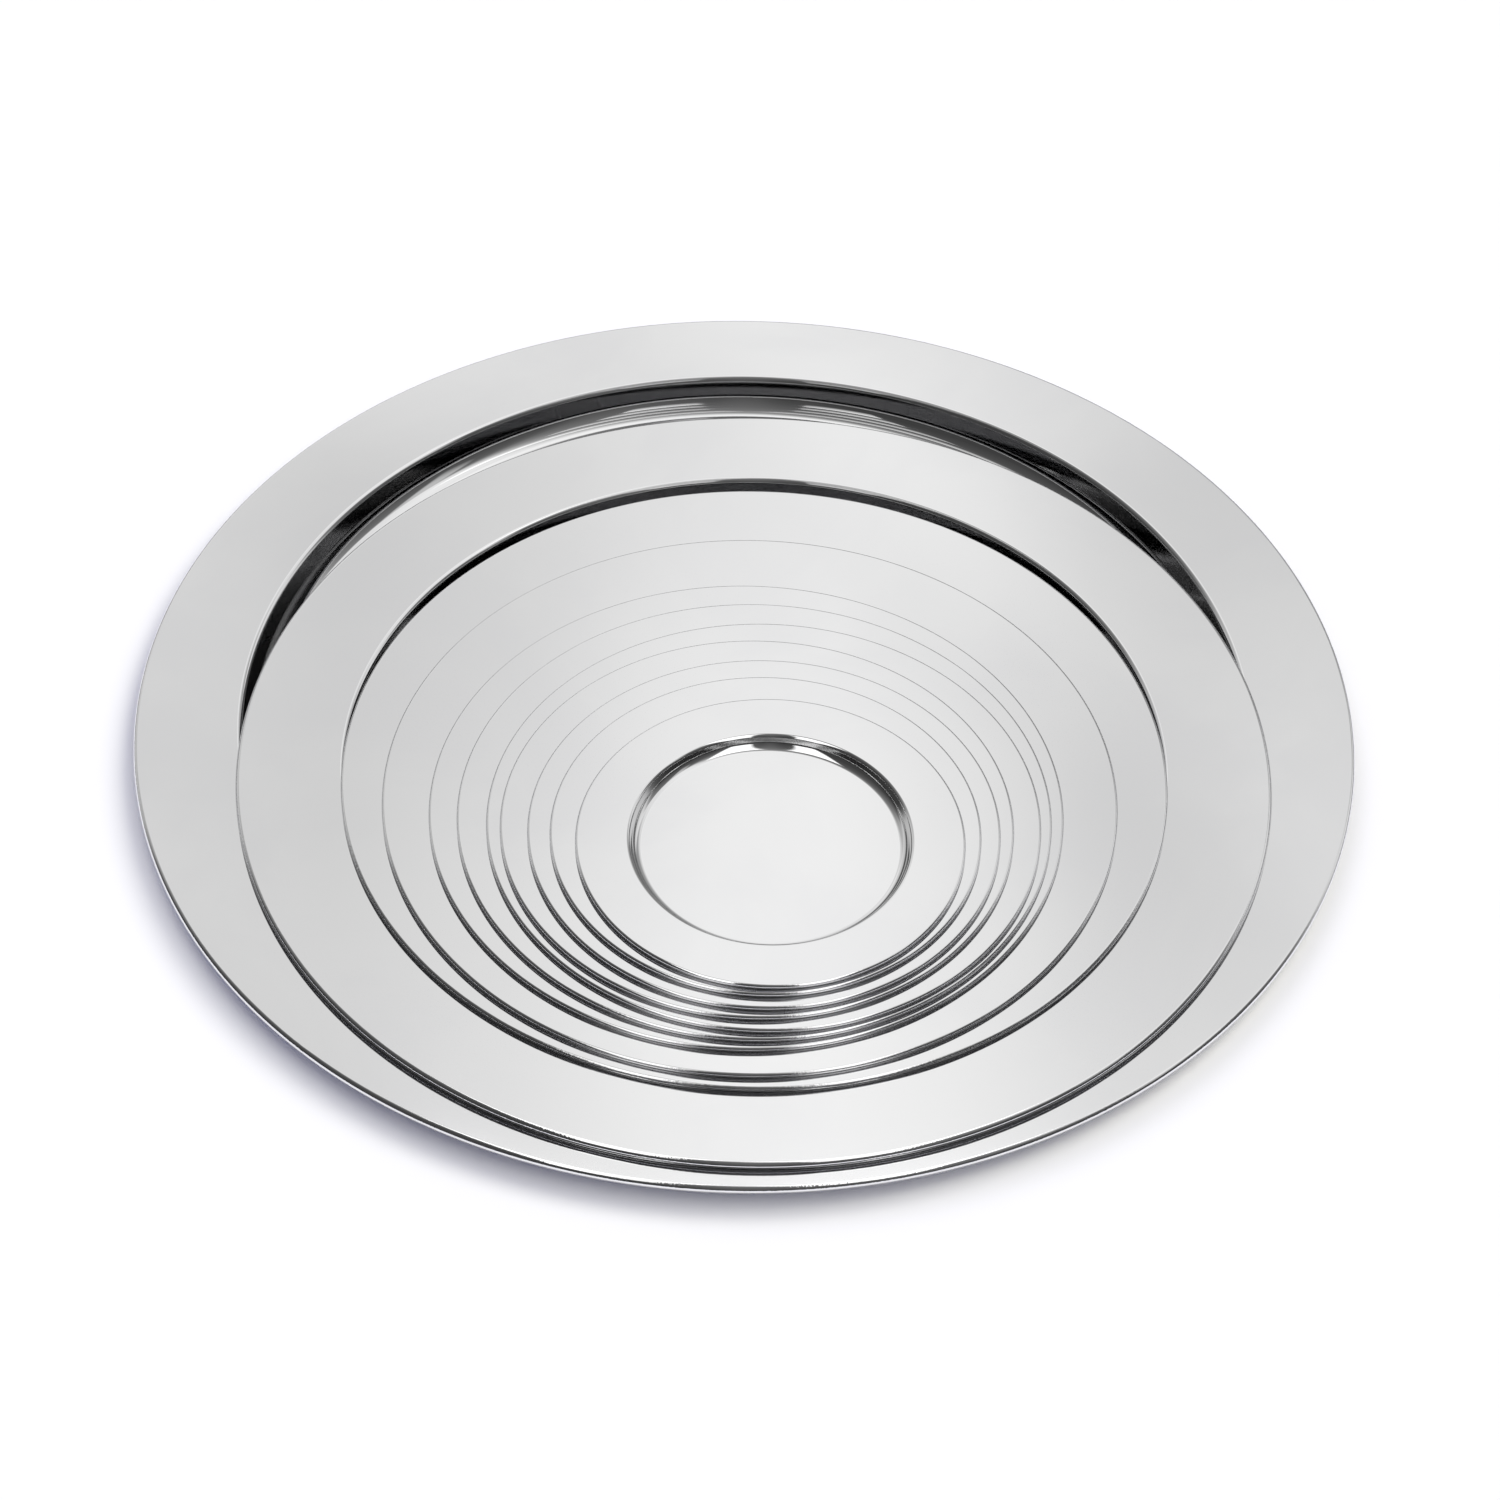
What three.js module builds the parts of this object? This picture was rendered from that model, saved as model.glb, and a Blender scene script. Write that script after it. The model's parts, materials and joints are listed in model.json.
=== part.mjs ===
// A nest of round serving platters, pressed from polished stainless steel sheet.
// Millimetres, +Z up. The origin is under the middle of the largest platter's floor.
// Every platter is one piece: a flat floor, a sloping wall, a wide flat rim and a rolled edge.
// Each rests on the rim of the next larger one, shoved off centre within the play of its well.

import * as THREE from 'three';

// Driving dimensions: the largest platter
const DIAMETER = 600; // across its rolled edge
const RIM = 50; // width of its flat brim, with the rolled edge
const DEPTH = 16; // from its rim down to the top face of its floor
const LIP = 3; // bend at the head of its well's wall, on the top face
const COVE = 12; // bend at the foot of its well's wall, on the top face
const BEAD = 4.2; // thickness of its rolled edge

// Driving dimensions: all platters
const SHEET = 0.8; // thickness of the pressed sheet
const WALL_SLOPE = 68; // steepest slope of a well's wall, in degrees from level
const SEAT_GAP = 0.3; // air left where a platter meets the one that carries it
const FACET_SAG = 1.2; // how far a flat facet may cut inside the true circle
const BEND_STEP = 24; // longest step along a bend in the sheet, in degrees
const BEAD_STEP = 50; // longest step round a rolled edge, in degrees
const PLAY_STEP = 0.01; // fineness to which a platter's free play is found

// The range from the bottom up, named by nominal size.
// across, rim, depth, lip, cove and bead are shares of the largest platter's dimensions.
// shove is the share of the free play that is taken up, and toward its direction in degrees from +X.
const RANGE = [
  {
    size: '600', across: 1, rim: 1, depth: 1, lip: 1, cove: 1, bead: 1,
    shove: 0, toward: 0,
  },
  {
    size: '500', across: 5 / 6, rim: 1, depth: 0.875, lip: 1, cove: 0.83, bead: 0.98,
    shove: 0.82, toward: -83,
  },
  {
    size: '400', across: 0.6617, rim: 1, depth: 0.8125, lip: 0.93, cove: 0.75, bead: 0.74,
    shove: 0.25, toward: -89,
  },
  {
    size: '350', across: 7 / 12, rim: 0.92, depth: 0.75, lip: 0.87, cove: 0.67, bead: 0.69,
    shove: 1, toward: -96,
  },
  {
    size: '300', across: 1 / 2, rim: 0.7, depth: 0.6875, lip: 0.8, cove: 0.58, bead: 0.62,
    shove: 1, toward: -97,
  },
  {
    size: '280', across: 7 / 15, rim: 0.67, depth: 0.625, lip: 0.8, cove: 0.54, bead: 0.62,
    shove: 1, toward: -60,
  },
  {
    size: '260', across: 13 / 30, rim: 0.66, depth: 0.594, lip: 0.73, cove: 0.5, bead: 0.62,
    shove: 1, toward: -58,
  },
  {
    size: '240', across: 2 / 5, rim: 0.6, depth: 0.5625, lip: 0.73, cove: 0.5, bead: 0.62,
    shove: 1, toward: -121,
  },
  {
    size: '220', across: 11 / 30, rim: 0.57, depth: 0.5, lip: 0.67, cove: 0.46, bead: 0.62,
    shove: 1, toward: -64,
  },
  {
    size: '200', across: 1 / 3, rim: 0.48, depth: 0.4375, lip: 0.67, cove: 0.42, bead: 0.62,
    shove: 1, toward: -81,
  },
  {
    size: '180', across: 3 / 10, rim: 0.47, depth: 0.375, lip: 0.67, cove: 0.38, bead: 0.62,
    shove: 0.92, toward: -74,
  },
];

const PLATTERS = RANGE.map((share) => ({
  ...share,
  diameter: share.across * DIAMETER,
  rim: share.rim * RIM,
  depth: share.depth * DEPTH,
  lip: share.lip * LIP,
  cove: share.cove * COVE,
  bead: share.bead * BEAD,
}));

const { degToRad, radToDeg } = THREE.MathUtils;

// Points along an arc, both ends included, with no step longer than the one given.
function arc(centreRadius, centreHeight, radius, fromDegrees, toDegrees, longestStep) {
  const steps = Math.max(1, Math.ceil(Math.abs(toDegrees - fromDegrees) / longestStep));
  return Array.from({ length: steps + 1 }, (_, i) => {
    const angle = degToRad(fromDegrees + ((toDegrees - fromDegrees) * i) / steps);
    return new THREE.Vector2(
      centreRadius + radius * Math.cos(angle),
      centreHeight + radius * Math.sin(angle),
    );
  });
}

// Closed section of a platter, from the axis under the floor, round the rolled edge, to the axis above it.
function section({ diameter, rim, depth, lip, cove, bead }) {
  const top = SHEET + depth;
  const mouth = diameter / 2 - rim;

  // A shallow well has no straight stretch of wall, so its two bends meet at a gentler slope.
  const steepest = radToDeg(Math.acos(Math.max(-1, 1 - depth / (lip + cove))));
  const slope = Math.min(WALL_SLOPE, steepest);
  const sine = Math.sin(degToRad(slope));
  const straightDrop = depth - (lip + cove) * (1 - Math.cos(degToRad(slope)));
  const floor = mouth - (lip + cove) * sine - straightDrop / Math.tan(degToRad(slope));

  // The rim runs into the rolled edge a sheet's thickness below its top.
  const beadRadius = bead / 2;
  const meeting = 180 - radToDeg(Math.asin(Math.max(-1, 1 - SHEET / beadRadius)));

  return [
    new THREE.Vector2(0, 0),
    ...arc(floor, SHEET + cove, cove + SHEET, -90, slope - 90, BEND_STEP),
    ...arc(mouth, top - lip, lip - SHEET, 90 + slope, 90, BEND_STEP),
    ...arc(diameter / 2 - beadRadius, top - beadRadius, beadRadius, meeting, 450, BEAD_STEP),
    ...arc(mouth, top - lip, lip, 90, 90 + slope, BEND_STEP),
    ...arc(floor, SHEET + cove, cove, slope - 90, -90, BEND_STEP),
    new THREE.Vector2(0, SHEET),
  ];
}

// Facets round a platter: a multiple of four, so that it measures its true diameter along X and Y.
function facetCount(diameter) {
  const halfFacet = Math.acos(1 - FACET_SAG / (diameter / 2));
  return 4 * Math.ceil(Math.PI / halfFacet / 4);
}

// Lowest or highest level of a section at a radius, as pick is Math.min or Math.max.
function levelAt(points, radius, pick) {
  const levels = [];
  for (let i = 1; i < points.length; i += 1) {
    const [inner, outer] = [points[i - 1], points[i]].sort((a, b) => a.x - b.x);
    if (radius < inner.x || radius > outer.x) continue;
    const share = outer.x > inner.x ? (radius - inner.x) / (outer.x - inner.x) : 0;
    levels.push(inner.y + share * (outer.y - inner.y));
  }
  return pick(...levels);
}

// How high the upper platter comes to rest above the lower one when it is set down off centre.
// Both sections are made of straight lines, so it is enough to try them at each other's corners.
function seatHeight(lower, upper, offset) {
  const facetReach = 1 / Math.cos(Math.PI / lower.facets);
  const brim = (lower.diameter - lower.bead) / 2;
  const corners = [
    ...upper.points.map((point) => point.x),
    ...lower.points.map((point) => point.x / facetReach - offset),
  ];
  const rises = corners
    .filter((radius) => radius >= 0 && radius <= upper.diameter / 2)
    .map((radius) => {
      const reach = Math.min((radius + offset) * facetReach, brim);
      return levelAt(lower.points, reach, Math.max) - levelAt(upper.points, radius, Math.min);
    });
  return Math.max(...rises) + SEAT_GAP;
}

// How far the upper platter can slide before its well rides up on the lower one's wall.
function freePlay(lower, upper) {
  const rimOnRim = lower.depth - upper.depth + upper.bead + SEAT_GAP;
  const ceiling = Math.max(rimOnRim, seatHeight(lower, upper, 0)) + PLAY_STEP;
  let [free, stopped] = [0, lower.diameter / 2];
  while (stopped - free > PLAY_STEP) {
    const offset = (free + stopped) / 2;
    if (seatHeight(lower, upper, offset) <= ceiling) free = offset;
    else stopped = offset;
  }
  return Math.max(0, free - SEAT_GAP);
}

// Place of a platter on the one below it.
function restingPlace(lower, upper) {
  const offset = upper.shove * freePlay(lower, upper);
  const direction = degToRad(upper.toward);
  return new THREE.Vector3(
    offset * Math.cos(direction),
    offset * Math.sin(direction),
    seatHeight(lower, upper, offset),
  );
}

const polishedSteel = new THREE.MeshStandardMaterial({
  name: 'polished_steel',
  color: 0xd6d8da,
  roughness: 0.06,
  metalness: 1,
});

function platterMesh({ size, points, facets }) {
  const geometry = new THREE.LatheGeometry(points, facets);
  geometry.rotateX(Math.PI / 2);
  const mesh = new THREE.Mesh(geometry, polishedSteel.clone());
  mesh.name = `platter_${size}`;
  return mesh;
}

// Stack the platters, each inside the group of the one that carries it.
const nest = new THREE.Group();
nest.name = 'platter_nest';
let carrier = nest;
let lower = null;
for (const sizes of PLATTERS) {
  const platter = { ...sizes, points: section(sizes), facets: facetCount(sizes.diameter) };
  const place = new THREE.Group();
  if (lower) place.position.copy(restingPlace(lower, platter));
  place.add(platterMesh(platter));
  carrier.add(place);
  carrier = place;
  lower = platter;
}

export default nest;
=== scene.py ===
# %% [markdown]
# A nest of round serving platters, pressed from polished stainless steel sheet. The imported solids
# are the frame: they fix every size and place, and each platter here is built on one of them. We
# load the frame first.

# %% load the frame
import json
import math
from collections import namedtuple

import bmesh
import bpy
from mathutils import Matrix, Quaternion, Vector

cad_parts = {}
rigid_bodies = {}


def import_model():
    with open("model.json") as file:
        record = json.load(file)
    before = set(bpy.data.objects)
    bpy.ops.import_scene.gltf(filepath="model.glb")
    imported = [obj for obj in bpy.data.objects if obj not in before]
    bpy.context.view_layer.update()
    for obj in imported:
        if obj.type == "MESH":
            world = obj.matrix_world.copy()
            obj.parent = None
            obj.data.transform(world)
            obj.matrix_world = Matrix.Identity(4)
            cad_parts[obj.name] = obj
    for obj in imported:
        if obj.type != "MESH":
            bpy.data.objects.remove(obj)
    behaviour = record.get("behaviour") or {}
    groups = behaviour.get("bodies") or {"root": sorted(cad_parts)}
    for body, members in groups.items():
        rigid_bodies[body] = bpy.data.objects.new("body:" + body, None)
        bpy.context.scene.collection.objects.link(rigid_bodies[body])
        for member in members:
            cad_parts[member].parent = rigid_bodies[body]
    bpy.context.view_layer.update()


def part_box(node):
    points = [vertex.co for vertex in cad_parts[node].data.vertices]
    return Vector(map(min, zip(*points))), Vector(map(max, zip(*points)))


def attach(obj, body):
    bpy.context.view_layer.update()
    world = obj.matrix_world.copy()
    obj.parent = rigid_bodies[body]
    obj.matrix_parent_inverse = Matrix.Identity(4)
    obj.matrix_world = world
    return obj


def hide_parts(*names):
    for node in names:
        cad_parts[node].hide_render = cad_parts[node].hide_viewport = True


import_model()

# %% [markdown]
# Every platter is the same kind of pressing: a flat floor, a sloping wall, a wide flat rim and a
# rolled edge. Diameter, depth and place are read from the frame. What the frame's box can't tell is
# how wide the rim is and how tight the bends are, so those are given here, for the largest platter
# and as shares of it for the rest.

# %% sizes of the pressings
SHEET = 0.0008
WALL_SLOPE = 68.0
LARGEST = {"rim": 0.050, "lip": 0.003, "cove": 0.012, "bead": 0.0042}
SHARES = {
    "platter_600": {"rim": 1.00, "lip": 1.00, "cove": 1.00, "bead": 1.00},
    "platter_500": {"rim": 1.00, "lip": 1.00, "cove": 0.83, "bead": 0.98},
    "platter_400": {"rim": 1.00, "lip": 0.93, "cove": 0.75, "bead": 0.74},
    "platter_350": {"rim": 0.92, "lip": 0.87, "cove": 0.67, "bead": 0.69},
    "platter_300": {"rim": 0.70, "lip": 0.80, "cove": 0.58, "bead": 0.62},
    "platter_280": {"rim": 0.67, "lip": 0.80, "cove": 0.54, "bead": 0.62},
    "platter_260": {"rim": 0.66, "lip": 0.73, "cove": 0.50, "bead": 0.62},
    "platter_240": {"rim": 0.60, "lip": 0.73, "cove": 0.50, "bead": 0.62},
    "platter_220": {"rim": 0.57, "lip": 0.67, "cove": 0.46, "bead": 0.62},
    "platter_200": {"rim": 0.48, "lip": 0.67, "cove": 0.42, "bead": 0.62},
    "platter_180": {"rim": 0.47, "lip": 0.67, "cove": 0.38, "bead": 0.62},
}


def pressing_sizes(node):
    low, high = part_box(node)
    sizes = {name: share * LARGEST[name] for name, share in SHARES[node].items()}
    sizes["radius"] = (high.x - low.x) / 2
    sizes["depth"] = high.z - low.z - SHEET
    sizes["place"] = Vector(((low.x + high.x) / 2, (low.y + high.y) / 2, low.z))
    return sizes


for node in SHARES:
    found = pressing_sizes(node)
    print(f"{node}: {2000 * found['radius']:.0f} mm across, well {1000 * found['depth']:.1f} mm deep")

# %% [markdown]
# Polished steel shows every fault of the mesh, because it mirrors the room. A platter could be spun
# from a line and smoothed by Blender, but smoothing bends the light across the wide flats. So the
# section is written as straight runs and true arcs that carry their own exact normals, and the mesh
# keeps those normals. A point of the section has its radius and height in metres, its normal
# outward and upward, and the part of the pressing that it is on.

# %% runs and arcs of the section
ARC_STEP = 4.0
BEAD_STEP = 10.0
Point = namedtuple("Point", "radius height outward upward where")


def arc_run(centre, radius, start, end, hollow, step, where):
    steps = max(2, math.ceil(abs(end - start) / step))
    facing = -1.0 if hollow else 1.0
    points = []
    for i in range(steps + 1):
        angle = math.radians(start + (end - start) * i / steps)
        across, up = math.cos(angle), math.sin(angle)
        point = Point(
            radius=centre[0] + radius * across,
            height=centre[1] + radius * up,
            outward=facing * across,
            upward=facing * up,
            where=where,
        )
        points.append(point)
    return points


def straight_run(start, end, normal, pieces, where):
    points = []
    for i in range(pieces + 1):
        share = i / pieces
        radius = start[0] + share * (end[0] - start[0])
        height = start[1] + share * (end[1] - start[1])
        points.append(Point(radius, height, normal[0], normal[1], where))
    return points


quarter = arc_run((0, 0), 1.0, 0, 90, False, ARC_STEP, "wall")
print("a quarter bend takes", len(quarter) - 1, "steps")

# %% [markdown]
# The section runs from the axis under the floor, out along the underside, round the rolled edge,
# and back in over the rim, down the wall and across the floor to the axis. The rolled edge is a
# bead of sheet curled under, so it is a full round that meets the underside of the rim in a crease.
# Its lower half is counted with the underside, whose darker satin colour paints shade under the bead.

# %% section of a platter
OUTERMOST = 360
FLOOR_RINGS = 6
WALL_RINGS = 2
RIM_RINGS = 4


def platter_section(sizes):
    rim, lip, cove, bead = (sizes[name] for name in ("rim", "lip", "cove", "bead"))
    radius, depth = sizes["radius"], sizes["depth"]
    top = SHEET + depth
    mouth = radius - rim
    steepest = math.degrees(math.acos(max(-1.0, 1 - depth / (lip + cove))))
    slope = min(WALL_SLOPE, steepest)
    sine, cosine = math.sin(math.radians(slope)), math.cos(math.radians(slope))
    drop = depth - (lip + cove) * (1 - cosine)
    floor = mouth - (lip + cove) * sine - drop * cosine / sine
    curl = bead / 2
    crease = 180 - math.degrees(math.asin(max(-1.0, 1 - SHEET / curl)))
    edge_centre = (radius - curl, top - curl)
    lip_centre = (mouth, top - lip)
    cove_centre = (floor, SHEET + cove)

    cove_under = arc_run(cove_centre, cove + SHEET, -90, slope - 90, False, ARC_STEP, "under")
    lip_under = arc_run(lip_centre, lip - SHEET, 90 + slope, 90, True, ARC_STEP, "under")
    # The lower half of the rolled edge goes with the underside; its darker satin is painted shade.
    edge_under = arc_run(edge_centre, curl, crease, OUTERMOST, False, BEAD_STEP, "under")
    edge = arc_run(edge_centre, curl, OUTERMOST, OUTERMOST + 90, False, BEAD_STEP, "edge")
    lip_top = arc_run(lip_centre, lip, 90, 90 + slope, False, ARC_STEP, "wall")
    cove_top = arc_run(cove_centre, cove, slope - 90, -90, True, ARC_STEP, "wall")

    return [
        straight_run((0, 0), cove_under[0], (0, -1), FLOOR_RINGS, "under"),
        cove_under,
        straight_run(cove_under[-1], lip_under[0], (sine, -cosine), WALL_RINGS, "under"),
        lip_under,
        straight_run(lip_under[-1], edge_under[0], (0, -1), RIM_RINGS, "under"),
        edge_under,
        edge,
        straight_run(edge[-1], lip_top[0], (0, 1), RIM_RINGS, "flat"),
        lip_top,
        straight_run(lip_top[-1], cove_top[0], (-sine, cosine), WALL_RINGS, "wall"),
        cove_top,
        straight_run(cove_top[-1], (0, SHEET), (0, 1), FLOOR_RINGS, "flat"),
    ]


trial = platter_section(pressing_sizes("platter_180"))
steps = sum(len(run) - 1 for run in trial)
print("section of the smallest platter:", len(trial), "runs,", steps, "steps")

# %% [markdown]
# Turning the section gives the pressing: each step of it becomes a ring of faces. Steps shorter
# than a hair are dropped, and the two ends on the axis close as fans of triangles, so the sheet is
# one closed skin. Each face corner then gets the normal of its own run, which keeps flats flat and
# the crease under the edge sharp.

# %% turning a section
HAIR = 1e-6


def turn_section(name, runs, facets, materials, edge_rub):
    turns = [math.tau * k / facets for k in range(facets)]
    form = bmesh.new()
    rubbed = form.verts.layers.float.new("rolled_edge")
    rings = []
    normals = []

    def ring_at(point):
        around = [0.0] if point.radius < HAIR else turns
        rub = edge_rub * math.sqrt(max(0.0, point.outward)) if point.where == "edge" else 0.0
        ring = []
        for turn in around:
            x, y = point.radius * math.cos(turn), point.radius * math.sin(turn)
            vertex = form.verts.new((x, y, point.height))
            vertex[rubbed] = rub
            ring.append(vertex)
        return ring

    for run in runs:
        for before, after in zip(run, run[1:]):
            if math.dist(before[:2], after[:2]) < HAIR:
                continue
            if not rings:
                rings.append(ring_at(before))
            rings.append(ring_at(after))
            inner, outer = rings[-2], rings[-1]
            for k in range(facets):
                corners = [
                    (inner, before, k),
                    (inner, before, k + 1),
                    (outer, after, k + 1),
                    (outer, after, k),
                ]
                used = []
                for ring, point, turn in corners:
                    vertex = ring[turn % len(ring)]
                    if vertex not in [corner[0] for corner in used]:
                        used.append((vertex, point, turns[turn % facets]))
                face = form.faces.new([corner[0] for corner in used])
                face.smooth = True
                face.material_index = 1 if before.where == "under" else 0
                for _, point, turn in used:
                    x, y = point.outward * math.cos(turn), point.outward * math.sin(turn)
                    normals.append((x, y, point.upward))

    mesh = bpy.data.meshes.new(name)
    form.to_mesh(mesh)
    form.free()
    mesh.normals_split_custom_set(normals)
    for material in materials:
        mesh.materials.append(material)
    piece = bpy.data.objects.new(name, mesh)
    bpy.context.scene.collection.objects.link(piece)
    return piece


print("ready to turn sections, leaving out steps under", HAIR, "m")

# %% [markdown]
# The finishes are built from nodes. Effects that more than one finish uses are node groups with
# named sockets. These two helpers make a group and add a node to any tree, so that the recipes
# below stay short.

# %% helpers for node trees
def add_node(tree, kind, settings=None, values=None):
    node = tree.nodes.new(kind)
    for name, value in (settings or {}).items():
        setattr(node, name, value)
    for socket, value in (values or {}).items():
        node.inputs[socket].default_value = value
    return node


def new_group(name, inputs, outputs):
    tree = bpy.data.node_groups.new(name, "ShaderNodeTree")
    for socket, kind, value in inputs:
        made = tree.interface.new_socket(socket, in_out="INPUT", socket_type=kind)
        if value is not None:
            made.default_value = value
    for socket, kind in outputs:
        tree.interface.new_socket(socket, in_out="OUTPUT", socket_type=kind)
    return tree, tree.nodes.new("NodeGroupInput"), tree.nodes.new("NodeGroupOutput")


print("node helpers:", add_node.__name__, "and", new_group.__name__)

# %% [markdown]
# The platters are buffed while they turn, so the wheel leaves hair-fine rings round the axis. They
# are too fine to count at arm's length and only soften what the steel mirrors. Rings could be
# modelled as grooves, but those would need millions of faces. So the group looks up noise by the
# radius and by the direction from the axis: the rings are long along the turn and thin across it,
# with no seam.

# %% buffing rings
def make_buffing_rings():
    tree, given, out = new_group(
        "buffing_rings",
        [("Position", "NodeSocketVector", None), ("Fineness", "NodeSocketFloat", 1800.0)],
        [("Rings", "NodeSocketFloat")],
    )
    flat = add_node(tree, "ShaderNodeVectorMath", {"operation": "MULTIPLY"}, {1: (1.0, 1.0, 0.0)})
    radius = add_node(tree, "ShaderNodeVectorMath", {"operation": "LENGTH"})
    heading = add_node(tree, "ShaderNodeVectorMath", {"operation": "NORMALIZE"})
    along = add_node(tree, "ShaderNodeVectorMath", {"operation": "SCALE"}, {"Scale": 5.0})
    across = add_node(tree, "ShaderNodeMath", {"operation": "MULTIPLY"})
    lift = add_node(tree, "ShaderNodeCombineXYZ")
    place = add_node(tree, "ShaderNodeVectorMath", {"operation": "ADD"})
    noise = add_node(tree, "ShaderNodeTexNoise", None, {"Scale": 1.0, "Detail": 3.0, "Roughness": 0.6})
    link = tree.links.new
    link(given.outputs["Position"], flat.inputs[0])
    link(flat.outputs["Vector"], radius.inputs[0])
    link(flat.outputs["Vector"], heading.inputs[0])
    link(heading.outputs["Vector"], along.inputs[0])
    link(radius.outputs["Value"], across.inputs[0])
    link(given.outputs["Fineness"], across.inputs[1])
    link(across.outputs["Value"], lift.inputs["Z"])
    link(along.outputs["Vector"], place.inputs[0])
    link(lift.outputs["Vector"], place.inputs[1])
    link(place.outputs["Vector"], noise.inputs["Vector"])
    link(noise.outputs["Fac"], out.inputs["Rings"])
    return tree


BUFFING_RINGS = make_buffing_rings()
print("made", BUFFING_RINGS.name)

# %% [markdown]
# A wiped platter is never equally clear all over: the cloth leaves broad cloudy patches. They could
# be painted by hand, but noise gives patches with no edge. The group takes one broad noise,
# stretches its contrast, and gives a mask from clear (0) to hazy (1).

# %% wiping haze
def make_wiping_haze():
    tree, given, out = new_group(
        "wiping_haze",
        [("Position", "NodeSocketVector", None), ("Patch Scale", "NodeSocketFloat", 9.0)],
        [("Haze", "NodeSocketFloat")],
    )
    cloudy = {"Detail": 4.0, "Roughness": 0.55, "Distortion": 0.6}
    broad = add_node(tree, "ShaderNodeTexNoise", None, cloudy)
    spread = add_node(tree, "ShaderNodeMapRange", {"interpolation_type": "SMOOTHSTEP"})
    spread.inputs["From Min"].default_value = 0.35
    spread.inputs["From Max"].default_value = 0.68
    link = tree.links.new
    link(given.outputs["Position"], broad.inputs["Vector"])
    link(given.outputs["Patch Scale"], broad.inputs["Scale"])
    link(broad.outputs["Fac"], spread.inputs["Value"])
    link(spread.outputs["Result"], out.inputs["Haze"])
    return tree


WIPING_HAZE = make_wiping_haze()
print("made", WIPING_HAZE.name)

# %% [markdown]
# The rolled edges are what knocks against other platters and what the polishing wheel reaches
# least. Close up, their mirror is broken by tiny dents and rub marks, so the light along them
# glitters. The group gives the height of those marks, and takes the mask of the rolled edge that
# each mesh carries.

# %% edge rub
def make_edge_rub():
    tree, given, out = new_group(
        "edge_rub",
        [("Position", "NodeSocketVector", None), ("Edge", "NodeSocketFloat", 0.0)],
        [("Marks", "NodeSocketFloat")],
    )
    fine = {"Scale": 620.0, "Detail": 2.0, "Roughness": 0.65}
    coarse = {"Scale": 34.0, "Detail": 2.0, "Roughness": 0.5}
    dents = add_node(tree, "ShaderNodeTexNoise", None, fine)
    patches = add_node(tree, "ShaderNodeTexNoise", None, coarse)
    where = add_node(tree, "ShaderNodeMapRange", {"interpolation_type": "SMOOTHSTEP"})
    where.inputs["From Min"].default_value = 0.36
    where.inputs["From Max"].default_value = 0.62
    share = add_node(tree, "ShaderNodeMath", {"operation": "MULTIPLY"})
    marks = add_node(tree, "ShaderNodeMath", {"operation": "MULTIPLY"})
    link = tree.links.new
    link(given.outputs["Position"], dents.inputs["Vector"])
    link(given.outputs["Position"], patches.inputs["Vector"])
    link(patches.outputs["Fac"], where.inputs["Value"])
    link(where.outputs["Result"], share.inputs[0])
    link(given.outputs["Edge"], share.inputs[1])
    link(dents.outputs["Fac"], marks.inputs[0])
    link(share.outputs["Value"], marks.inputs[1])
    link(marks.outputs["Value"], out.inputs["Marks"])
    return tree


EDGE_RUB = make_edge_rub()
print("made", EDGE_RUB.name)

# %% [markdown]
# The steel itself is one metal with two finishes: mirror polish on all that shows, and a rougher
# satin underneath, where the sheet is left as it came from the press. The satin's colour is made
# much darker than the steel's own, as painted shade under the rims and along the lower half of each
# rolled edge. Both are full metal. Two separate recipes would do, but one recipe with other values
# keeps them alike. The groups change the roughness and the fine relief over the surface, and the
# finish only says how strongly.

# %% steel finishes
def mask_range(tree, source, low, high):
    spread = add_node(tree, "ShaderNodeMapRange", None, {"To Min": low, "To Max": high})
    tree.links.new(source, spread.inputs["Value"])
    return spread.outputs["Result"]


def steel_finish(name, clear, hazy, bright, dull, ring_height, rub_height):
    material = bpy.data.materials.new(name)
    material.use_nodes = True
    tree = material.node_tree
    tree.nodes.clear()
    link = tree.links.new
    out = add_node(tree, "ShaderNodeOutputMaterial")
    steel = add_node(tree, "ShaderNodeBsdfPrincipled", None, {"Metallic": 1.0})
    place = add_node(tree, "ShaderNodeTexCoord")
    edge = add_node(tree, "ShaderNodeAttribute", {"attribute_name": "rolled_edge"})
    haze = add_node(tree, "ShaderNodeGroup", {"node_tree": WIPING_HAZE})
    rings = add_node(tree, "ShaderNodeGroup", {"node_tree": BUFFING_RINGS})
    rub = add_node(tree, "ShaderNodeGroup", {"node_tree": EDGE_RUB})
    tint = add_node(tree, "ShaderNodeMix", {"data_type": "RGBA"}, {"A": bright, "B": dull})
    ring_relief = add_node(tree, "ShaderNodeBump", None, {"Strength": 1.0, "Distance": ring_height})
    rub_relief = add_node(tree, "ShaderNodeBump", None, {"Strength": 1.0, "Distance": rub_height})
    for group in (haze, rings, rub):
        link(place.outputs["Object"], group.inputs["Position"])
    link(edge.outputs["Fac"], rub.inputs["Edge"])
    link(haze.outputs["Haze"], tint.inputs["Factor"])
    link(tint.outputs["Result"], steel.inputs["Base Color"])
    link(mask_range(tree, haze.outputs["Haze"], clear, hazy), steel.inputs["Roughness"])
    link(rings.outputs["Rings"], ring_relief.inputs["Height"])
    link(rub.outputs["Marks"], rub_relief.inputs["Height"])
    link(ring_relief.outputs["Normal"], rub_relief.inputs["Normal"])
    link(rub_relief.outputs["Normal"], steel.inputs["Normal"])
    link(steel.outputs["BSDF"], out.inputs["Surface"])
    return material


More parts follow.
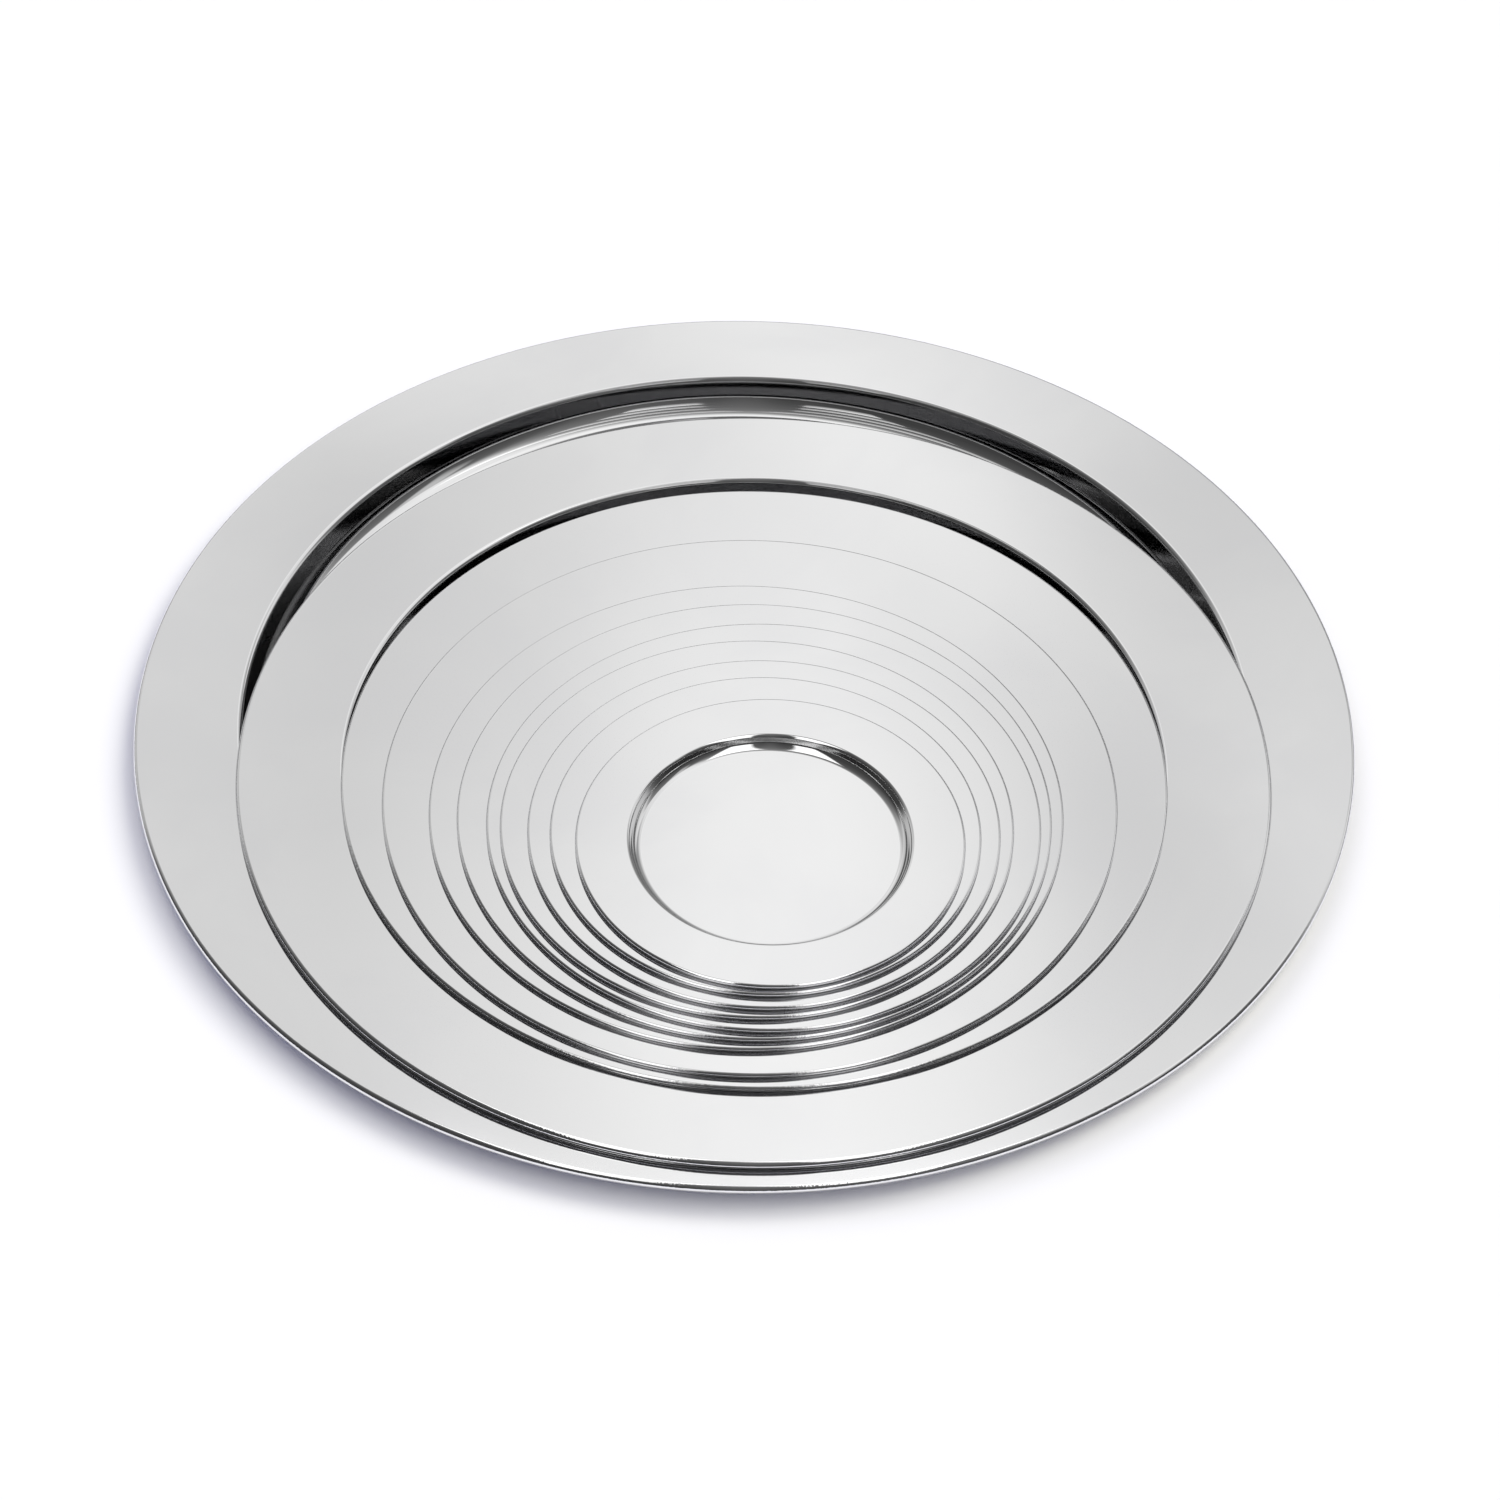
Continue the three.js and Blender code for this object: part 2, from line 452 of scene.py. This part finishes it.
MIRROR_STEEL = steel_finish(
    "mirror_steel",
    clear=0.045,
    hazy=0.075,
    bright=(0.84, 0.84, 0.84, 1.0),
    dull=(0.81, 0.81, 0.815, 1.0),
    ring_height=0.0000004,
    rub_height=0.00010,
)
# The satin's dark base colour is painted shade under the rims and along the bottom of each rolled
# edge.
SATIN_STEEL_SHADED = steel_finish(
    "satin_steel_painted_shade",
    clear=0.20,
    hazy=0.30,
    bright=(0.46, 0.46, 0.47, 1.0),
    dull=(0.40, 0.40, 0.41, 1.0),
    ring_height=0.000004,
    rub_height=0.00010,
)
print("finishes:", MIRROR_STEEL.name, "and", SATIN_STEEL_SHADED.name)

# %% [markdown]
# Now the platters themselves, from the bottom of the nest to the top. Each one stands on the axis
# of its solid, takes the solid's place and moves with its body. The larger ones get more facets, so
# that all edges look round. Some edges in the nest are more rubbed than others, which the rub
# values say.

# %% the nest of platters
EDGE_RUBS = {"platter_600": 1.0, "platter_500": 0.9, "platter_400": 0.9, "platter_280": 0.8}
PLAIN_RUB = 0.45
FACET_STEP = 16
FEWEST_STEPS = 8
STEPS_PER_METRE = 36


def make_platter(node):
    sizes = pressing_sizes(node)
    facets = FACET_STEP * round(FEWEST_STEPS + STEPS_PER_METRE * sizes["radius"])
    rub = EDGE_RUBS.get(node, PLAIN_RUB)
    name = node.replace("platter", "pressing")
    piece = turn_section(name, platter_section(sizes), facets, [MIRROR_STEEL, SATIN_STEEL_SHADED], rub)
    piece.location = sizes["place"]
    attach(piece, node)
    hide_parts(node)
    return piece


for node in SHARES:
    made = make_platter(node)
    print(f"{made.name}: {len(made.data.polygons)} faces")

# %% [markdown]
# The nest stands on a plain white floor. Only its soft shadow should show, so the floor is matt and
# pale. A backdrop that curves up would do too, but a wide flat disc looks the same from every side.

# %% floor
FLOOR_WHITE = (0.98, 0.98, 0.98, 1.0)
FLOOR_GAP = 0.0002


def make_floor(reach):
    form = bmesh.new()
    bmesh.ops.create_circle(form, cap_ends=True, segments=64, radius=reach)
    mesh = bpy.data.meshes.new("floor")
    form.to_mesh(mesh)
    form.free()
    material = bpy.data.materials.new("white_floor")
    material.use_nodes = True
    paint = material.node_tree.nodes["Principled BSDF"]
    paint.inputs["Base Color"].default_value = FLOOR_WHITE
    paint.inputs["Roughness"].default_value = 0.9
    paint.inputs["Specular IOR Level"].default_value = 0.0
    mesh.materials.append(material)
    floor = bpy.data.objects.new("floor", mesh)
    floor.location.z = -FLOOR_GAP
    bpy.context.scene.collection.objects.link(floor)
    return floor


print("floor:", make_floor(30.0).dimensions.x, "m across")

# %% [markdown]
# The room that the steel mirrors is drawn with sums on angles. A painted picture of a room could be
# wrapped round the scene, but soft curves and bands need no picture and are quick to change. These
# helpers make one sum, a curve through given stops, a slanting shift, a soft step and a soft band.

# %% curves and soft bands
def light_curve(tree, angle, stops, low, high):
    place = add_node(tree, "ShaderNodeMapRange", None, {"From Min": low, "From Max": high})
    ramp = add_node(tree, "ShaderNodeValToRGB")
    while len(ramp.color_ramp.elements) > 1:
        ramp.color_ramp.elements.remove(ramp.color_ramp.elements[-1])
    for i, (degrees, level) in enumerate(stops):
        position = (degrees - low) / (high - low)
        if i == 0:
            stop = ramp.color_ramp.elements[0]
            stop.position = position
        else:
            stop = ramp.color_ramp.elements.new(position)
        stop.color = (level, level, level, 1.0)
    tree.links.new(angle, place.inputs["Value"])
    tree.links.new(place.outputs["Result"], ramp.inputs["Fac"])
    return ramp.outputs["Color"]


def maths(tree, operation, first, second=None):
    node = add_node(tree, "ShaderNodeMath", {"operation": operation})
    for socket, value in zip(node.inputs, (first, second)):
        if isinstance(value, bpy.types.NodeSocket):
            tree.links.new(value, socket)
        elif value is not None:
            socket.default_value = value
    return node.outputs["Value"]


def edge_shift(tree, side, start, slope, least, most):
    shift = maths(tree, "MULTIPLY", maths(tree, "SUBTRACT", side, start), slope)
    return maths(tree, "MINIMUM", maths(tree, "MAXIMUM", shift, least), most)


def soft_step(tree, value, start, end):
    smooth = {"interpolation_type": "SMOOTHSTEP"}
    step = add_node(tree, "ShaderNodeMapRange", smooth, {"From Min": start, "From Max": end})
    tree.links.new(value, step.inputs["Value"])
    return step.outputs["Result"]


def soft_band(tree, value, start, full, fade, end):
    rise = soft_step(tree, value, start, full)
    fall = soft_step(tree, value, end, fade)
    return maths(tree, "MULTIPLY", rise, fall)


print("room helpers:", ", ".join(made.__name__ for made in (maths, light_curve, soft_step, soft_band)))

# %% [markdown]
# Mirror steel shows the room more than itself, so the room matters. It is a studio with one broad
# soft light behind the nest. The light's upper edge slants, so that it reaches higher on the right
# than on the left. A narrow streak of light leans further right, and the front, where the camera
# stands, is dim. The room is written in two angles: how far round over the nest (0 back, 90
# overhead, 180 front), and how far sideways. Curves give the light along each of them. Only mirrors
# see this room. The floor gets an even fill that is a little blue, and the camera sees white.

# %% the studio room
SIDE_LIGHT = [
    (-90, 0.05), (-66, 0.20), (-55, 0.48), (-40, 0.50), (-26, 0.52), (-19, 0.62), (-11, 0.76),
    (-7.5, 0.70), (-4, 0.80), (-1, 0.98), (1.5, 1.04), (4, 0.96), (6.5, 0.82), (8, 0.80),
    (11, 0.88), (22, 0.92), (40, 0.84), (60, 0.70), (90, 0.40),
]
EVEN_LIGHT = [
    (-90, 0.10), (-76, 0.20), (-62, 0.60), (-40, 0.66), (-24, 0.74), (-16, 0.93), (0, 0.97),
    (16, 0.97), (40, 0.85), (60, 0.70), (90, 0.40),
]
EVENNESS = [
    (-90, 0.9), (38.5, 0.9), (41, 0.0), (47, 0.0), (53, 0.45), (66, 0.6), (80, 0.2), (180, 0.0),
]
OVER_LIGHT = [
    (-90, 0.38), (8, 0.38), (20, 0.46), (31, 0.84), (38, 1.00), (40.5, 0.92), (46, 1.00),
    (52, 1.06), (58, 1.02), (62, 0.84), (67, 0.52), (72, 0.34), (78, 0.26), (86, 0.20),
    (105, 0.15), (135, 0.11), (165, 0.08), (180, 0.06),
]
LEAN = {"start": 0, "slope": 0.9, "least": -13, "most": 22}
LEFT_DROP = {"start": -40, "slope": 0.8, "least": -40, "most": 0}
RIGHT_DROP = {"start": 31, "slope": -4, "least": -32, "most": 0}
STREAK_LEVEL = 0.60
STREAK_LEAN = 0.45
STREAK_FOOT = 70
STREAK_ACROSS = (24, 28, 33, 38)
STREAK_ALONG = (58, 68, 85, 122)
DIM_ROOM = 0.055
HORIZON_DARK = 0.40
HORIZON_BAND = (6, 16)
FLOOR_FILL = {"Color": (0.54, 0.56, 1.0, 1), "Strength": 0.49}


def broad_light(tree, over, side):
    across = add_node(tree, "ShaderNodeMix", {"data_type": "FLOAT"})
    tree.links.new(light_curve(tree, over, EVENNESS, -90, 180), across.inputs["Factor"])
    tree.links.new(light_curve(tree, side, SIDE_LIGHT, -90, 90), across.inputs["A"])
    tree.links.new(light_curve(tree, side, EVEN_LIGHT, -90, 90), across.inputs["B"])
    lean = edge_shift(tree, side, **LEAN)
    left_drop = edge_shift(tree, side, **LEFT_DROP)
    right_drop = edge_shift(tree, side, **RIGHT_DROP)
    reach = maths(tree, "ADD", maths(tree, "ADD", lean, left_drop), right_drop)
    fading = light_curve(tree, maths(tree, "SUBTRACT", over, reach), OVER_LIGHT, -90, 180)
    return maths(tree, "MULTIPLY", across.outputs["Result"], fading)


def leaning_streak(tree, over, side):
    past_foot = maths(tree, "SUBTRACT", over, STREAK_FOOT)
    slant = maths(tree, "SUBTRACT", side, maths(tree, "MULTIPLY", past_foot, STREAK_LEAN))
    streak_across = soft_band(tree, slant, *STREAK_ACROSS)
    streak_along = soft_band(tree, over, *STREAK_ALONG)
    streak = maths(tree, "MULTIPLY", streak_across, streak_along)
    return maths(tree, "MULTIPLY", streak, STREAK_LEVEL)


def make_room():
    world = bpy.data.worlds.new("studio")
    bpy.context.scene.world = world
    world.use_nodes = True
    tree = world.node_tree
    tree.nodes.clear()
    link = tree.links.new
    place = add_node(tree, "ShaderNodeTexCoord")
    split = add_node(tree, "ShaderNodeSeparateXYZ")
    link(place.outputs["Generated"], split.inputs["Vector"])
    x, y, z = (split.outputs[axis] for axis in "XYZ")
    over = maths(tree, "DEGREES", maths(tree, "ARCTAN2", z, y))
    side = maths(tree, "DEGREES", maths(tree, "ARCSINE", x))

    room = maths(tree, "MAXIMUM", broad_light(tree, over, side), leaning_streak(tree, over, side))
    room = maths(tree, "MAXIMUM", room, DIM_ROOM)
    height = maths(tree, "DEGREES", maths(tree, "ARCSINE", z))
    above = mask_range(tree, soft_step(tree, height, *HORIZON_BAND), HORIZON_DARK, 1.0)
    room = maths(tree, "MULTIPLY", room, above)

    rays = add_node(tree, "ShaderNodeLightPath")
    mirror = add_node(tree, "ShaderNodeBackground", None, {"Strength": 1.0})
    plain_white = {"Color": (1, 1, 1, 1), "Strength": 1.0}
    white = add_node(tree, "ShaderNodeBackground", None, plain_white)
    fill = add_node(tree, "ShaderNodeBackground", None, FLOOR_FILL)
    seen = add_node(tree, "ShaderNodeMixShader")
    mirrored = add_node(tree, "ShaderNodeMixShader")
    out = add_node(tree, "ShaderNodeOutputWorld")
    link(room, mirror.inputs["Color"])
    link(rays.outputs["Is Glossy Ray"], mirrored.inputs["Fac"])
    link(fill.outputs["Background"], mirrored.inputs[1])
    link(mirror.outputs["Background"], mirrored.inputs[2])
    link(rays.outputs["Is Camera Ray"], seen.inputs["Fac"])
    link(mirrored.outputs["Shader"], seen.inputs[1])
    link(white.outputs["Background"], seen.inputs[2])
    link(seen.outputs["Shader"], out.inputs["Surface"])
    return world


print("room:", make_room().name)

# %% [markdown]
# The floor's shadow comes from three soft lamps: at the right, behind on the left, and in front. A
# sun lamp with a wide angle gives the same light all over the floor. These are a little warm, and
# with the bluish fill they make the open floor white and the shadow faintly violet. Metal doesn't
# show them: it mirrors the room above.

# %% lamps for the floor
LAMP_DISTANCE = 2.0
WARM_WHITE = (1.0, 0.985, 0.80)


def make_lamp(name, azimuth, elevation, spread, strength):
    lamp = bpy.data.lights.new(name, "SUN")
    lamp.energy = strength
    lamp.angle = math.radians(spread)
    lamp.color = WARM_WHITE
    holder = bpy.data.objects.new(name, lamp)
    turn, rise = math.radians(azimuth), math.radians(elevation)
    level = math.cos(rise)
    towards = Vector((math.sin(turn) * level, math.cos(turn) * level, math.sin(rise)))
    holder.rotation_mode = "QUATERNION"
    holder.rotation_quaternion = towards.to_track_quat("Z", "Y")
    holder.location = LAMP_DISTANCE * towards
    holder.visible_glossy = False
    bpy.context.scene.collection.objects.link(holder)
    return holder


lamps = [
    make_lamp("lamp_right", azimuth=78, elevation=56, spread=34, strength=1.22),
    make_lamp("lamp_left", azimuth=-40, elevation=62, spread=36, strength=0.45),
    make_lamp("lamp_front", azimuth=155, elevation=60, spread=44, strength=1.20),
]
print("lamps:", ", ".join(lamp.name for lamp in lamps))

# %% [markdown]
# Two tall strip lights stand left and right of the camera and lean in over the nest. They whiten
# the rolled edges on the viewer's side and leave the dark camera between them. Their long sides
# fade, as a cloth-covered lamp does. The two largest platters need strips of their own, because
# their far walls must stay dark: those strips are made in short lengths with grids, which hold the
# light to a narrow cone aimed at the near edges. In Blender each strip has a receiver collection,
# and it lights only the pieces in it.

# %% strip lights
STRIP_DISTANCE = 1.3


def towards_room(over, side):
    over, side = math.radians(over), math.radians(side)
    return Vector((math.sin(side), math.cos(side) * math.cos(over), math.cos(side) * math.sin(over)))


def soften_sides(strip, share):
    strip.use_nodes = True
    tree = strip.node_tree
    place = add_node(tree, "ShaderNodeNewGeometry")
    split = add_node(tree, "ShaderNodeSeparateXYZ")
    tree.links.new(place.outputs["Parametric"], split.inputs["Vector"])
    glow = soft_band(tree, split.outputs["X"], 0, share, 1 - share, 1)
    tree.links.new(glow, tree.nodes["Emission"].inputs["Strength"])


def make_strip(name, stand, head, foot, wide, level, lit, soft=0, grid=0):
    length_way = towards_room(*foot) - towards_room(*head)
    middle = (towards_room(*foot) + towards_room(*head)).normalized()
    across_way = length_way.cross(middle).normalized()
    strip = bpy.data.lights.new(name, "AREA")
    strip.shape = "RECTANGLE"
    strip.size = STRIP_DISTANCE * 2 * math.tan(math.radians(wide / 2))
    strip.size_y = STRIP_DISTANCE * length_way.length / (towards_room(*head).dot(middle))
    strip.energy = level * math.pi * strip.size * strip.size_y
    if grid:
        half = math.radians(grid / 2)
        strip.spread = 2 * half
        strip.energy *= (math.tan(half) - half) / math.tan(half)
    if soft:
        soften_sides(strip, soft)
    holder = bpy.data.objects.new(name, strip)
    upward = middle.cross(across_way)
    holder.matrix_world = Matrix((across_way, upward, middle)).transposed().to_4x4()
    holder.location = Vector(stand) + STRIP_DISTANCE * middle
    holder.visible_camera = False
    holder.visible_diffuse = False
    holder.light_linking.receiver_collection = lit
    bpy.context.scene.collection.objects.link(holder)
    return holder


print("strips stand", STRIP_DISTANCE, "m from what they light")

# %% [markdown]
# Three groups of platters get strips of their own: the two largest, the middle of the nest and the
# smallest. Both sides of the camera have the same strips, mirrored. A place in the room is given by
# the two angles from above, over the nest and sideways.

# %% strips on both sides
CENTRE = (0, 0, 0)
NEAR_EDGE = (0, -0.29, 0.02)
STRIP_HEAD = (84, 9)
STRIP_FOOT = (156, 20)
GRID_HEAD = (54, 6.5)
GRID_STEP = (16, 2.6)
GRID_PIECES = 4


def lit_group(name, nodes):
    group = bpy.data.collections.new(name)
    for node in nodes:
        group.objects.link(bpy.data.objects[node.replace("platter", "pressing")])
    return group


large = lit_group("two_largest", list(SHARES)[:2])
middling = lit_group("middle_of_the_nest", list(SHARES)[2:-1])
smallest = lit_group("smallest", list(SHARES)[-1:])
for_middle = {"wide": 24, "level": 1.20, "soft": 0.35, "lit": middling}
for_top = {"wide": 19.5, "level": 1.30, "soft": 0.15, "lit": smallest}
for_large = {"wide": 13, "level": 1.60, "grid": 50, "lit": large}
strips = []
for name, way in (("left", -1), ("right", 1)):
    head = (STRIP_HEAD[0], way * STRIP_HEAD[1])
    foot = (STRIP_FOOT[0], way * STRIP_FOOT[1])
    strips.append(make_strip(f"strip_{name}_middle", CENTRE, head, foot, **for_middle))
    strips.append(make_strip(f"strip_{name}_top", CENTRE, head, foot, **for_top))
    for piece in range(GRID_PIECES):
        over = GRID_HEAD[0] + GRID_STEP[0] * piece
        aside = GRID_HEAD[1] + GRID_STEP[1] * piece
        head = (over, way * aside)
        foot = (over + GRID_STEP[0], way * (aside + GRID_STEP[1]))
        strips.append(make_strip(f"grid_{name}_{piece + 1}", NEAR_EDGE, head, foot, **for_large))
print("strip lights:", len(strips))

# %% [markdown]
# The camera looks down at the nest from the front at 46 degrees, from about one and a half metres,
# and is tilted by a little over one degree, as a camera held by hand is. Such a view could be set
# by eye. Here it comes from fitting a pinhole camera to the rims of all the platters, which settles
# the distance and the lens as well.

# %% camera
IMAGE_SIDE = 1500
FOCAL_PIXELS = 3084
DISTANCE = 1.501
ELEVATION = math.radians(45.84)
TILT = math.radians(1.32)
AIM = Vector((0.0027, -0.0378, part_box("platter_600")[1].z))

view = bpy.data.cameras.new("camera")
view.sensor_width = 36.0
view.lens = view.sensor_width * FOCAL_PIXELS / IMAGE_SIDE
view.clip_end = 100.0
camera = bpy.data.objects.new("camera", view)
back = Vector((0, -math.cos(ELEVATION), math.sin(ELEVATION)))
camera.location = AIM + DISTANCE * back
camera.rotation_mode = "QUATERNION"
camera.rotation_quaternion = back.to_track_quat("Z", "Y") @ Quaternion((0, 0, 1), TILT)
bpy.context.scene.collection.objects.link(camera)
bpy.context.scene.camera = camera
bpy.context.scene.view_settings.view_transform = "Standard"
print("camera at", [round(value, 3) for value in camera.location])
